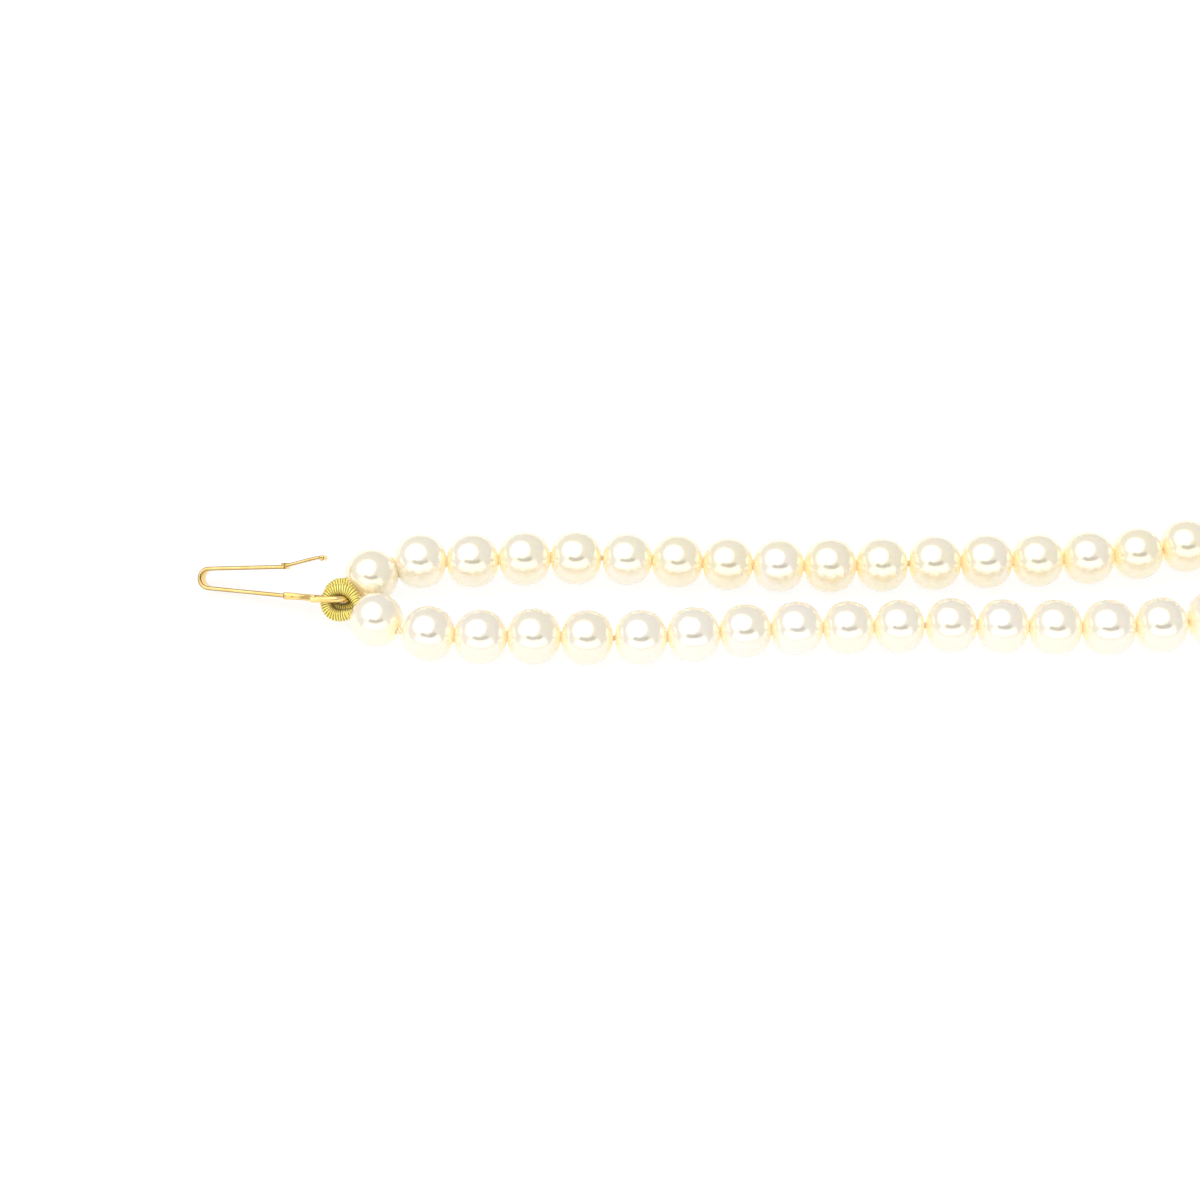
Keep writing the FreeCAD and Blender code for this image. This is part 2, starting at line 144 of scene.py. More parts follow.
def tube(shape, path, radius, sides=10, closed=False):
    """A round tube along a path; radius is one number or one for each point."""
    path = np.asarray(path, float)
    radii = np.broadcast_to(np.asarray(radius, float), (len(path),))
    _, across, up = path_frames(path, closed)
    angles = np.arange(sides) * 2 * math.pi / sides
    rings = []
    for i in range(len(path)):
        offset = across[i] * np.cos(angles)[:, None] + up[i] * np.sin(angles)[:, None]
        rings.append(path[i] + offset * radii[i])
    shape.add_rings(rings, closed=closed)


def resample(path, step):
    """Points a fixed step apart along a polyline."""
    path = np.asarray(path, float)
    lengths = np.concatenate([[0], np.cumsum(np.linalg.norm(np.diff(path, axis=0), axis=1))])
    count = max(2, int(round(lengths[-1] / step)) + 1)
    at = np.linspace(0, lengths[-1], count)
    return np.stack([np.interp(at, lengths, path[:, k]) for k in range(3)], axis=1)


def spline(points, per_span=16):
    """A smooth curve through points (Catmull-Rom)."""
    p = np.asarray(points, float)
    p = np.vstack([2 * p[0] - p[1], p, 2 * p[-1] - p[-2]])
    out = []
    for i in range(1, len(p) - 2):
        for u in np.linspace(0, 1, per_span, endpoint=False):
            a, b, c, d = p[i - 1], p[i], p[i + 1], p[i + 2]
            out.append(0.5 * ((2 * b) + (c - a) * u + (2 * a - 5 * b + 4 * c - d) * u * u
                              + (3 * b - a - 3 * c + d) * u ** 3))
    out.append(p[-2])
    return np.array(out)


def helix(path, coil_radius, pitch, per_turn, start_angle):
    """A coil wound round a path."""
    fine = resample(path, pitch / per_turn)
    _, across, up = path_frames(fine)
    angle = start_angle + np.arange(len(fine)) * 2 * math.pi / per_turn
    return fine + coil_radius * (across * np.cos(angle)[:, None] + up * np.sin(angle)[:, None])


# ---------------------------------------------------------------- node helpers

class Nodes:
    """Short names for building a shader tree."""

    def __init__(self, tree):
        self.tree = tree
        tree.nodes.clear()

    def add(self, kind, inputs=None, **settings):
        node = self.tree.nodes.new(kind)
        for key, value in settings.items():
            setattr(node, key, value)
        for key, value in (inputs or {}).items():
            socket = node.inputs[key]
            if isinstance(value, bpy.types.NodeSocket):
                self.tree.links.new(value, socket)
            else:
                socket.default_value = value
        return node

    def math(self, operation, a, b=0.0, clamp=False):
        return self.add("ShaderNodeMath", {0: a, 1: b}, operation=operation, use_clamp=clamp).outputs[0]

    def mix(self, factor, a, b):
        node = self.add("ShaderNodeMix", data_type="RGBA")
        for index, value in ((0, factor), (6, a), (7, b)):
            if isinstance(value, bpy.types.NodeSocket):
                self.tree.links.new(value, node.inputs[index])
            else:
                node.inputs[index].default_value = value
        return node.outputs[2]

    def ramp(self, value, low, high, out_low=0.0, out_high=1.0):
        node = self.add("ShaderNodeMapRange", {
            "Value": value, "From Min": low, "From Max": high, "To Min": out_low, "To Max": out_high,
        }, interpolation_type="SMOOTHSTEP")
        return node.outputs["Result"]

    def noise(self, vector, scale, detail=3.0, rough=0.5, distortion=0.0):
        node = self.add("ShaderNodeTexNoise", {
            "Vector": vector, "Scale": scale, "Detail": detail, "Roughness": rough,
            "Distortion": distortion,
        })
        return node.outputs["Fac"]


def rgb(r, g, b):
    return (r, g, b, 1.0)


def new_material(name):
    material = bpy.data.materials.new(name)
    material.use_nodes = True
    return material, Nodes(material.node_tree)


def finish_material(n, sockets, normal=None):
    shader = n.add("ShaderNodeBsdfPrincipled", sockets)
    if normal is not None:
        n.tree.links.new(normal, shader.inputs["Normal"])
    output = n.add("ShaderNodeOutputMaterial")
    n.tree.links.new(shader.outputs[0], output.inputs[0])


# ---------------------------------------------------------------- materials

def nacre(name, body, pale, hole_tone_and_glow, rosy):
    """Cream nacre: each pearl has its own tone over a fine grain, and is warmer by its drill holes, partly
    its own colour and partly painted glow of light bounced between touching pearls, with a painted emission
    glow there too.
    """
    material, n = new_material(name)
    place = n.add("ShaderNodeTexCoord").outputs["Object"]
    tint = n.add("ShaderNodeAttribute", attribute_name="tint").outputs["Color"]
    parts = n.add("ShaderNodeSeparateColor", {"Color": tint})
    tone, ends, overtone = parts.outputs[0], parts.outputs[1], parts.outputs[2]
    clouds = n.noise(place, 520, 4.0, 0.6)
    fine = n.noise(place, 2600, 4.0, 0.6)
    drift = n.math("ADD", n.math("MULTIPLY", tone, 0.75), n.math("MULTIPLY", clouds, 0.35), clamp=True)
    colour = n.mix(drift, body, pale)
    blush = n.math("MULTIPLY", n.ramp(n.noise(place, 230, 1.0), 0.42, 0.68), overtone)
    colour = n.mix(n.math("MULTIPLY", blush, 0.55), colour, rosy)
    # Warmer by the drill holes: partly the nacre's own colour, partly painted glow of light bounced between
    # touching pearls.
    colour = n.mix(n.math("MULTIPLY", ends, 0.85), colour, hole_tone_and_glow)
    colour = n.mix(n.ramp(fine, 0.35, 0.75, 0.0, 0.06), colour, rgb(1, 1, 1))
    pits = n.add("ShaderNodeTexVoronoi", {"Vector": place, "Scale": 620.0, "Randomness": 1.0})
    pit = n.ramp(pits.outputs["Distance"], 0.0, 0.16)
    relief = n.math("ADD", clouds, n.math("MULTIPLY", fine, 0.12))
    relief = n.math("ADD", relief, n.math("MULTIPLY", pit, 0.05))
    bump = n.add("ShaderNodeBump", {"Height": relief, "Strength": 0.15, "Distance": 0.0002})
    rough = n.ramp(fine, 0.3, 0.7, 0.12, 0.19)
    finish_material(n, {
        "Base Color": colour, "Metallic": 0.47, "Roughness": rough, "IOR": 1.55,
        "Subsurface Weight": 0.6, "Subsurface Radius": (1.0, 0.8, 0.55), "Subsurface Scale": 0.0015,
        "Coat Weight": 0.4, "Coat Roughness": 0.05, "Coat IOR": 1.5,
        # Painted glow: warm light emitted by the drill holes, where the pearls touch.
        "Emission Color": rgb(1.0, 0.74, 0.45), "Emission Strength": n.math("MULTIPLY", ends, 0.2),
    }, bump.outputs[0])
    return material


def gold(name, light, deep, roughness, scale=1500.0, relief=0.1, metallic=1.0):
    """Polished gold: fine wear marks, and dark brown painted shade where the tint attribute's red channel
    asks for it.
    """
    material, n = new_material(name)
    place = n.add("ShaderNodeTexCoord").outputs["Object"]
    tint = n.add("ShaderNodeAttribute", attribute_name="tint").outputs["Color"]
    painted_shade = n.add("ShaderNodeSeparateColor", {"Color": tint}).outputs[0]
    clouds = n.noise(place, scale * 0.35, 3.0, 0.6)
    fine = n.noise(place, scale * 2.2, 4.0, 0.65, 0.4)
    colour = n.mix(n.ramp(clouds, 0.3, 0.72), light, deep)
    # Painted shade: dark brown mixed in where the tint's red channel is set.
    colour = n.mix(n.math("MULTIPLY", painted_shade, 0.9, clamp=True), colour, rgb(0.16, 0.09, 0.03))
    height = n.math("ADD", n.math("MULTIPLY", clouds, 0.8), n.math("MULTIPLY", fine, 0.3))
    bump = n.add("ShaderNodeBump", {"Height": height, "Strength": relief, "Distance": 0.0001})
    rough = n.ramp(fine, 0.3, 0.75, roughness * 0.75, roughness * 1.4)
    finish_material(n, {"Base Color": colour, "Metallic": metallic, "Roughness": rough}, bump.outputs[0])
    return material


def silk():
    material, n = new_material("silk_thread")
    place = n.add("ShaderNodeTexCoord").outputs["Object"]
    fibres = n.noise(place, 9000, 4.0, 0.7)
    strands = n.add("ShaderNodeTexWave", {
        "Vector": place, "Scale": 2400.0, "Distortion": 3.0, "Detail": 2.0, "Detail Scale": 2.0,
    }, wave_type="BANDS", bands_direction="DIAGONAL").outputs["Fac"]
    colour = n.mix(strands, rgb(0.97, 0.84, 0.56), rgb(1.0, 0.93, 0.78))
    colour = n.mix(n.ramp(fibres, 0.3, 0.7, 0.0, 0.4), colour, rgb(1.0, 0.90, 0.70))
    height = n.math("ADD", strands, n.math("MULTIPLY", fibres, 0.5))
    bump = n.add("ShaderNodeBump", {"Height": height, "Strength": 0.5, "Distance": 0.00003})
    finish_material(n, {
        "Base Color": colour, "Roughness": 0.7, "Sheen Weight": 0.4, "Sheen Roughness": 0.4,
    }, bump.outputs[0])
    return material


# Each strand's body, pale, warm and rosy colours; the warm one, by the drill holes, is partly painted glow.
NACRE = {
    "inner": nacre("nacre_inner", rgb(0.96, 0.86, 0.64), rgb(0.97, 0.92, 0.79), rgb(1.0, 0.84, 0.52),
                   rgb(0.96, 0.87, 0.84)),
    "outer": nacre("nacre_outer", rgb(0.94, 0.85, 0.68), rgb(0.95, 0.90, 0.80), rgb(1.0, 0.86, 0.60),
                   rgb(0.94, 0.87, 0.85)),
}
SILK = silk()
GILT = gold("gilt_coil_wire", rgb(1.0, 0.92, 0.30), rgb(1.0, 0.83, 0.17), 0.42, 2200.0, 0.15, metallic=0.55)
HOOK_GOLD = gold("hook_gold", rgb(0.97, 0.75, 0.34), rgb(0.88, 0.59, 0.19), 0.14)
BOX_GOLD = gold("box_gold", rgb(0.95, 0.77, 0.40), rgb(0.88, 0.63, 0.26), 0.18, 1200.0, 0.15)


# ---------------------------------------------------------------- the strands

def islands(mesh):
    """The mesh's vertices in mm, one array for each connected solid."""
    points = np.empty(len(mesh.vertices) * 3)
    mesh.vertices.foreach_get("co", points)
    points = points.reshape(-1, 3) / MM
    _, same = np.unique(np.round(points, 4), axis=0, return_inverse=True)
    same = same.ravel()
    edges = np.empty(len(mesh.edges) * 2, int)
    mesh.edges.foreach_get("vertices", edges)
    a, b = same[edges.reshape(-1, 2)].T
    labels = np.arange(same.max() + 1)
    while True:
        low = np.minimum(labels[a], labels[b])
        merged = labels.copy()
        np.minimum.at(merged, a, low)
        np.minimum.at(merged, b, low)
        merged = merged[merged]
        if np.array_equal(merged, labels):
            break
        labels = merged
    label_of = labels[same]
    return [points[label_of == value] for value in np.unique(label_of)]


class Pearl:
    """Centre, drill axis and size of one pearl, read from its CAD solid."""

    HOLE = 0.40
    RIM_BAND = 0.004

    def __init__(self, points):
        low, high = points.min(0), points.max(0)
        self.centre = (low + high) / 2
        self.radius = (high[2] - low[2]) / 2
        away = points - self.centre
        distance = np.linalg.norm(away, axis=1)
        rim = away[distance < distance.min() + self.RIM_BAND]
        side = rim @ rim[0] > 0
        ends = rim[side].mean(0) - rim[~side].mean(0)
        ends[2] = 0
        shrink = math.sqrt(1 - (self.HOLE / self.radius) ** 2)
        self.half_length = np.linalg.norm(ends) / 2 / shrink
        self.axis = unit(ends)

    def face_along(self, direction):
        if self.axis @ direction < 0:
            self.axis = -self.axis

    def entry(self):
        return self.centre - self.axis * self.half_length

    def exit(self):
        return self.centre + self.axis * self.half_length


def joint_place(name):
    joint = next(j for j in frame["joints"] if j["name"] == name)
    return np.array(joint["pos_m"]) / MM


def strand_sections(strand):
    """The strand's pearls by section, in order from the hook to the box, all facing that way."""
    reached = joint_place("hook_lift")
    sections = []
    for number in range(1, SECTIONS + 1):
        mesh = frame["nodes"][f"{strand}_pearls_{number:02d}"].data
        loose = [Pearl(points) for points in islands(mesh)]
        ordered = []
        while loose:
            nearest = min(loose, key=lambda p: np.linalg.norm(p.centre - reached))
            loose.remove(nearest)
            nearest.face_along(nearest.centre - reached)
            ordered.append(nearest)
            reached = nearest.centre
        sections.append(ordered)
    return sections


def body_of_section(strand, number):
    return "front_section" if number == FRONT_SECTION else f"{strand}_section_{number:02d}"


PEARL_SIDES = 56
PEARL_RINGS = 37
# A pearl's ends are fuller than an ellipsoid's by this power, and reach this far past its CAD ends.
END_FULLNESS = 0.80
TOUCHING = 0.06
LEAST_LUMP, MOST_LUMP = 0.010, 0.026
TONE_SPREAD = 0.22
LIP_START = 1.18
# How fast the warm tint and painted glow fall off away from a pearl's drill holes.
END_TINT_POWER = 7
# The drill hole flares at each mouth, over these depths.
MOUTH_FLARE = 1.06
MOUTH_EDGE, MOUTH_THROAT = 0.012, 0.05


def add_pearl(shape, pearl, strand_tone, reach):
    """A slightly off-round pearl with a rounded lip at each end of its drill hole."""
    b, hole = pearl.radius, pearl.HOLE
    side = np.array([-pearl.axis[1], pearl.axis[0], 0.0])
    up = np.array([0.0, 0.0, 1.0])
    angles = np.arange(PEARL_SIDES) * 2 * math.pi / PEARL_SIDES
    circle = side[None, :] * np.cos(angles)[:, None] + up[None, :] * np.sin(angles)[:, None]
    seed = Vector((random.uniform(-40, 40), random.uniform(-40, 40), random.uniform(-40, 40)))
    lump = random.uniform(LEAST_LUMP, MOST_LUMP)
    tone = min(1.0, max(0.0, random.gauss(strand_tone, TONE_SPREAD)))
    overtone = random.random()

    def turn_at(radius):
        return math.asin((radius / b) ** (1 / END_FULLNESS))

    def half(along):
        return pearl.half_length + reach[0 if along < 0 else 1]

    rings, tints = [], []
    lip = turn_at(LIP_START * hole)
    for theta in np.linspace(lip, math.pi - lip, PEARL_RINGS):
        along = -math.cos(theta)
        ring = []
        for spoke in circle:
            direction = pearl.axis * along + spoke * math.sin(theta)
            swell = noise.noise(Vector(direction) * 1.1 + seed) * lump * math.sin(theta) ** 2
            out = pearl.axis * (along * half(along)) + spoke * (math.sin(theta) ** END_FULLNESS * b)
            ring.append(pearl.centre + out * (1 - lump / 2 / b + swell / b))
        rings.append(np.array(ring))
        # The second channel sets the warm tint and painted glow, strongest by the drill holes.
        tints.append((tone, abs(along) ** END_TINT_POWER, overtone, 1.0))
    rim = math.cos(turn_at(hole))
    entry, leave = rim * half(-1), rim * half(1)
    wall = [(leave - MOUTH_EDGE, MOUTH_FLARE), (leave - MOUTH_THROAT, 1.0), (leave * 0.5, 1.0),
            (0.0, 1.0), (-entry * 0.5, 1.0), (-entry + MOUTH_THROAT, 1.0),
            (-entry + MOUTH_EDGE, MOUTH_FLARE)]
    for along, wide in wall:
        rings.append(pearl.centre + pearl.axis * along + circle * hole * wide)
        # The drill hole's walls take the full warm tint and painted glow.
        tints.append((tone, 1.0, overtone, 1.0))
    shape.add_rings(rings, closed=True, tints=tints)


def knot_path(point, direction, radius, half_length, wire):
    """The centre line of a small overhand knot drawn tight round the thread."""
    direction = unit(direction)
    side = unit(np.cross(direction, [0.0, 0.0, 1.0]))
    up = np.cross(side, direction)
    u = np.linspace(0, 2 * math.pi, 72, endpoint=False)
    wide, deep = (radius - wire) / 3, half_length - wire
    radial = (2 + np.cos(3 * u)) * wide
    return (point + side * (radial * np.cos(2 * u))[:, None] + up * (radial * np.sin(2 * u))[:, None]
            + direction * (deep * np.sin(3 * u))[:, None])


THREAD_RADIUS = 0.22
THREAD_SETBACK = 0.4
THREAD_STEP = 0.12
PLY_RADIUS = 0.118
PLY_TURN = 0.85
PLY_STEPS = 10
PLY_SIDES = 6
# A knot's radius, half length, wire radius and sides. The full knot is by a strand's end pearl.
FULL_KNOT_GAP = 0.4
FULL_KNOT = (0.42, 0.24, 0.13, 8)
SMALL_KNOT = (0.66, 0.085, 0.055, 6)
DIVISION_KNOT = (0.36, 0.085, 0.055, 6)
STRAND_TONES = {"inner": 0.35, "outer": 0.6}


def make_silk(strand, number, sections, before, after):
    """Two-ply silk through one section, with the knots that this section carries."""
    pearls = sections[number - 1]
    stops = []
    if before is None:
        stops.append(pearls[0].entry() + pearls[0].axis * THREAD_SETBACK)
    else:
        stops.append((before.exit() + pearls[0].entry()) / 2)
    for one, two in zip(pearls, pearls[1:]):
        stops.append((one.exit() + two.entry()) / 2)
    if after is None:
        stops.append(pearls[-1].exit() - pearls[-1].axis * THREAD_SETBACK)
    else:
        stops.append((pearls[-1].exit() + after.entry()) / 2)
    points = []
    for i, pearl in enumerate(pearls):
        points += [stops[i], pearl.entry(), pearl.centre, pearl.exit()]
    points.append(stops[-1])
    if before is None:
        points = points[:1] + points[2:]
    if after is None:
        points = points[:-2] + points[-1:]
    path = resample(points, THREAD_STEP)
    shape = Shape()
    for start in (0.0, math.pi):
        ply = helix(path, THREAD_RADIUS - PLY_RADIUS, PLY_TURN, PLY_STEPS, start)
        tube(shape, ply, PLY_RADIUS, PLY_SIDES)
    carried = list(range(1, len(stops) - 1))
    if number <= FRONT_SECTION and before is not None:
        carried.append(0)
    if number >= FRONT_SECTION and after is not None:
        carried.append(len(stops) - 1)
    for i in carried:
        one = pearls[i - 1] if i > 0 else before
        two = pearls[i] if i < len(pearls) else after
        gap = np.linalg.norm(two.entry() - one.exit())
        if gap > FULL_KNOT_GAP:
            direction, knot = two.entry() - one.exit(), FULL_KNOT
        else:
            direction = two.centre - one.centre
            knot = DIVISION_KNOT if i in (0, len(stops) - 1) else SMALL_KNOT
        radius, half_length, wire, sides = knot
        tube(shape, knot_path(stops[i], direction, radius, half_length, wire), wire, sides, closed=True)
    piece = shape.make(f"{strand}_silk_{number:02d}", SILK, 80)
    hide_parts(f"{strand}_thread_{number:02d}")
    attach(piece, body_of_section(strand, number))


def make_strand(strand):
    sections = strand_sections(strand)
    for number, pearls in enumerate(sections, 1):
        shape = Shape()
        for pearl in pearls:
            reach = [0.0 if pearl is end else TOUCHING for end in (pearls[0], pearls[-1])]
            add_pearl(shape, pearl, STRAND_TONES[strand], reach)
        piece = shape.make(f"{strand}_nacre_{number:02d}", NACRE[strand], 50)
        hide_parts(f"{strand}_pearls_{number:02d}")
        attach(piece, body_of_section(strand, number))
        before = sections[number - 2][-1] if number > 1 else None
        after = sections[number][0] if number < SECTIONS else None
        make_silk(strand, number, sections, before, after)
    return sections[0][0], sections[-1][-1]


# ---------------------------------------------------------------- the clasp's frames

class ClaspFrame:
    """s along the clasp towards the pearls, t across its face, w out of its face, in mm."""

    def __init__(self, link, lean, yaw, pivot_s, pivot_t):
        tilt, turn = math.radians(lean), math.radians(yaw)
        outward = np.array([0.0, -math.cos(tilt), math.sin(tilt)])
        along = np.array([1.0, 0.0, 0.0])
        self.t = np.array([0.0, math.sin(tilt), math.cos(tilt)])
        self.s = along * math.cos(turn) + outward * math.sin(turn)
        self.w = outward * math.cos(turn) - along * math.sin(turn)
        self.origin = link - self.s * pivot_s - self.t * pivot_t

    def at(self, s, t, w=0.0):
        return self.origin + self.s * s + self.t * t + self.w * w

    def line(self, points):
        return np.array([self.at(*p) for p in points])

    def local(self, point):
        away = np.asarray(point) - self.origin
        return np.array([away @ self.s, away @ self.t, away @ self.w])


# How each clasp end lies, the same as in CAD: its lean and yaw, and where its swing joint is in s and t.
HOOK_LEAN, HOOK_YAW = 52.5, 12.7
BOX_LEAN, BOX_YAW = 90.0, 0.0
PIVOT_S = -0.22
HOOK_EYE_T, BOX_EYE_T = -0.17, 0.0
HOOK = ClaspFrame(joint_place("hook_swing"), HOOK_LEAN, HOOK_YAW, PIVOT_S, HOOK_EYE_T)
BOX = ClaspFrame(joint_place("box_swing"), BOX_LEAN, BOX_YAW, PIVOT_S, BOX_EYE_T)


# ---------------------------------------------------------------- coiled wire loops

COIL_ACROSS = 0.485
COIL_DEEP = 0.73
COIL_WIRE = 0.125
COIL_PITCH = 0.26
COIL_STEPS = 26
COIL_SIDES = 10
COIL_TAPER = 1.6
# A lining inside the coil, seen between its turns, tinted with painted shade.
LINING_SHADE = (0.5, 0.0, 0.0, 1.0)
# Painted shade on the coil: in the creases between its turns, and on the side inside the loop.
CREASE_GAIN, CREASE_START, CREASE_MOST = 1.4, 0.6, 0.75
INNER_SIDE_SHADE = 0.85
LOOP_BEND = 1.40
LOOP_HALF_STRAIGHT = 0.24
LOOP_CENTRE_S = -0.73
LOOP_STEP = 0.03
LOOP_POINTS = 26
# Where a loop's ends leave its ring for the pearl's drill hole, and how far apart they are there.
LEAVE_REACH = 1.6
LEAVE_MARGIN = math.radians(20)
LEAVE_NEAR = math.radians(36)
NEAR_PEARL = 2.2
END_SPREAD = 0.44
END_SETBACK = 0.07
CORE_SHARE = 0.9
# Each loop's t across the clasp, and its w along the eye, in mm.
HOOK_LOOPS = {"inner": (0.13, -0.50), "outer": (-0.50, 0.50)}
BOX_LOOPS = {"inner": (-0.31, -0.50), "outer": (0.31, 0.50)}


def add_coil(shape, path, face):
    """Gilt wire wound as an oval coil round a path, with painted shade where one turn lies by the next, on
    its side inside the loop and on a lining seen between the turns.
    """
    step = COIL_PITCH / COIL_STEPS
    path = resample(path, step)
    tangents = path_frames(path)[0]
    inward = np.cross(face, tangents)
    inward /= np.linalg.norm(inward, axis=1)[:, None]
    outward = np.cross(tangents, inward)
    from_end = np.minimum(np.arange(len(path)), np.arange(len(path))[::-1]) * step
    share = np.clip(from_end / COIL_TAPER, 0, 1)
    deep = COIL_ACROSS + (COIL_DEEP - COIL_ACROSS) * share ** 2 * (3 - 2 * share) - COIL_WIRE
    turn = np.arange(len(path)) * 2 * math.pi / COIL_STEPS
    wire = path + inward * (deep * np.cos(turn))[:, None]
    wire += outward * ((COIL_ACROSS - COIL_WIRE) * np.sin(turn))[:, None]
    # A closed lining through the wire's turns, tinted with painted shade where the gaps between turns show.
    around = np.arange(3 * COIL_SIDES) * 2 * math.pi / (3 * COIL_SIDES)
    shade_lining = [path[i] + inward[i] * (deep[i] * np.cos(around))[:, None]
              + outward[i] * ((COIL_ACROSS - COIL_WIRE) * np.sin(around))[:, None]
              for i in range(0, len(path), COIL_STEPS // 2)]
    shape.add_rings(shade_lining, tints=[LINING_SHADE] * len(shade_lining))
    _, one, two = path_frames(wire)
    angles = np.arange(COIL_SIDES) * 2 * math.pi / COIL_SIDES
    middle = path.mean(0)
    rings, tints = [], []
    for i in range(len(wire)):
        spokes = one[i] * np.cos(angles)[:, None] + two[i] * np.sin(angles)[:, None]
        rings.append(wire[i] + spokes * COIL_WIRE)
        # Painted shade in the creases between turns and on the side inside the loop.
        crease_shade = np.clip(np.abs(spokes @ tangents[i]) * CREASE_GAIN - CREASE_START, 0, CREASE_MOST)
        inner_side = max(0.0, unit(wire[i] - path[i]) @ unit(middle - path[i])) ** 3
        shade = np.clip(crease_shade + INNER_SIDE_SHADE * inner_side, 0, 1)
        tints.append([(float(c), 0.0, 0.0, 1.0) for c in shade])
    shape.add_rings(rings, tints=tints)


def stadium_point(angle):
    """A point of the ring's centre line, in the direction of an angle from its middle."""
    direction = np.array([math.cos(angle), math.sin(angle)])
    side = math.copysign(LOOP_HALF_STRAIGHT, direction[0])
    b = direction[0] * side
    reach = b + math.sqrt(b * b - LOOP_HALF_STRAIGHT ** 2 + LOOP_BEND ** 2)
    point = direction * reach
    if abs(point[0]) < LOOP_HALF_STRAIGHT:
        point = direction * LOOP_BEND / abs(direction[1])
    return point


def make_loop(name, clasp, t, w, pearl_end, pearl_axis, body):
    """Coiled gilt wire bent into a loop, both of its ends butting on the pearl's drill hole."""
    hole = clasp.local(pearl_end - pearl_axis * END_SETBACK)
    middle = np.array([LOOP_CENTRE_S, t])
    away = hole[:2] - middle
    bearing = math.atan2(away[1], away[0])
    distance = np.linalg.norm(away)
    leave = LEAVE_NEAR
    if distance > NEAR_PEARL:
        leave = math.acos(min(1.0, LEAVE_REACH / distance)) + LEAVE_MARGIN
    across = np.array([-away[1], away[0]]) / distance * END_SPREAD
    points = [(hole[0] + across[0], hole[1] + across[1], hole[2])]
    for angle in np.linspace(bearing + leave, bearing + 2 * math.pi - leave, LOOP_POINTS):
        ring = middle + stadium_point(angle)
        points.append((ring[0], ring[1], w))
    points.append((hole[0] - across[0], hole[1] - across[1], hole[2]))
    path = resample(spline(clasp.line(points), 10), LOOP_STEP)
    shape = Shape()
    add_coil(shape, path, clasp.w)
    core = Shape()
    tube(core, path, THREAD_RADIUS * CORE_SHARE, 8)
    piece = shape.make(name + "_wire", GILT, 80)
    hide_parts(name)
    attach(piece, body)
    thread = core.make(name + "_silk", SILK, 80)
    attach(thread, body)


# ---------------------------------------------------------------- the hook

EYE_WIRE = 0.36
EYE_BEND = 1.42
EYE_ARC_S = -1.535
EYE_ROOT_S = -3.32
EYE_LEG_END_S = EYE_ROOT_S - 0.5


def make_eye(name, clasp, t, material, body):
    """A round wire bent into a U, its two legs held in the metal behind it."""
    points = [(EYE_LEG_END_S, t, -EYE_BEND), (EYE_ARC_S, t, -EYE_BEND)]
    for angle in np.linspace(-90, 90, 25)[1:-1]:
        a = math.radians(angle)
        points.append((EYE_ARC_S + EYE_BEND * math.cos(a), t, EYE_BEND * math.sin(a)))
    points += [(EYE_ARC_S, t, EYE_BEND), (EYE_LEG_END_S, t, EYE_BEND)]
    path = resample(clasp.line(points), 0.1)
    shape = Shape()
    tube(shape, path, EYE_WIRE, 20)
    piece = shape.make(name + "_wire", material, 60)
    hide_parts(name)
    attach(piece, body)


BEND_CENTRE = (-15.98, 2.17)
BEND_RADIUS = 1.09
SHANK_SLOPE = 5.4
ARM_SLOPE = 1.2
SHANK_END_S = -5.6
CATCH_S, CATCH_T = -7.24, 3.54
ARM_END = (CATCH_S + 0.1, 3.447)
STRIP_THICK, STRIP_WIDE = 0.44, 1.8
CORNER_STEPS = 4
# The catch step stands across the arm's end, this far to each side of it.
STEP_HALF_HEIGHT, STEP_THICK = 0.34, 0.60
TAB_PATH = ((CATCH_S + 0.1, CATCH_T + 0.02), (-6.2, 3.78), (-5.0, 4.08), (-3.9, 4.34), (-3.15, 4.5))
TAB_THICK, TAB_START_WIDE, TAB_WIDE = 0.34, STRIP_WIDE * 0.94, 1.5
CURL_CENTRE, CURL_RADIUS, CURL_THICK = (-2.86, 4.42), 0.16, 0.28


def corner_shade(strength):
    """Painted shade for a strip_section outline: the rounded corners darker than the flats."""
    one = [strength * math.sin(math.pi * i / CORNER_STEPS) for i in range(CORNER_STEPS + 1)]
    return [(shade, 0.0, 0.0, 1.0) for shade in one * 4]


def strip_section(thick, wide, corner):
    """The outline of a flat strip with rounded edges: pairs of across-thickness and across-width."""
    outline = []
    for cx, cy, start in ((1, 1, 0), (-1, 1, 90), (-1, -1, 180), (1, -1, 270)):
        for i in range(CORNER_STEPS + 1):
            a = math.radians(start + 90 * i / CORNER_STEPS)
            outline.append((cx * (thick / 2 - corner) + corner * math.cos(a),
                            cy * (wide / 2 - corner) + corner * math.sin(a)))
    return outline


def add_strip(shape, clasp, path_2d, thick, widths, corner=0.16, shade=0.9):
    """A flat strip along a path in s and t, with its width along w and a painted shade line along its
    rounded edges.
    """
    path = np.array(path_2d)
    tangent = np.gradient(path, axis=0)
    tangent /= np.linalg.norm(tangent, axis=1)[:, None]
    normal = np.stack([-tangent[:, 1], tangent[:, 0]], axis=1)
    widths = np.broadcast_to(np.asarray(widths, float), (len(path),))
    rings = []
    for i in range(len(path)):
        ring = []
        for n_off, w_off in strip_section(thick, widths[i], min(corner, thick * 0.45)):
            s, t = path[i] + normal[i] * n_off
            ring.append(clasp.at(s, t, w_off))
        rings.append(np.array(ring))
    shape.add_rings(rings, tints=[corner_shade(shade)] * len(rings))


def arc_2d(centre, radius, start, stop, count):
    angles = [math.radians(a) for a in np.linspace(start, stop, count)]
    return [(centre[0] + radius * math.cos(a), centre[1] + radius * math.sin(a)) for a in angles]


def line_2d(start, stop, count):
    return [(start[0] + (stop[0] - start[0]) * i / (count - 1),
             start[1] + (stop[1] - start[1]) * i / (count - 1)) for i in range(count)]


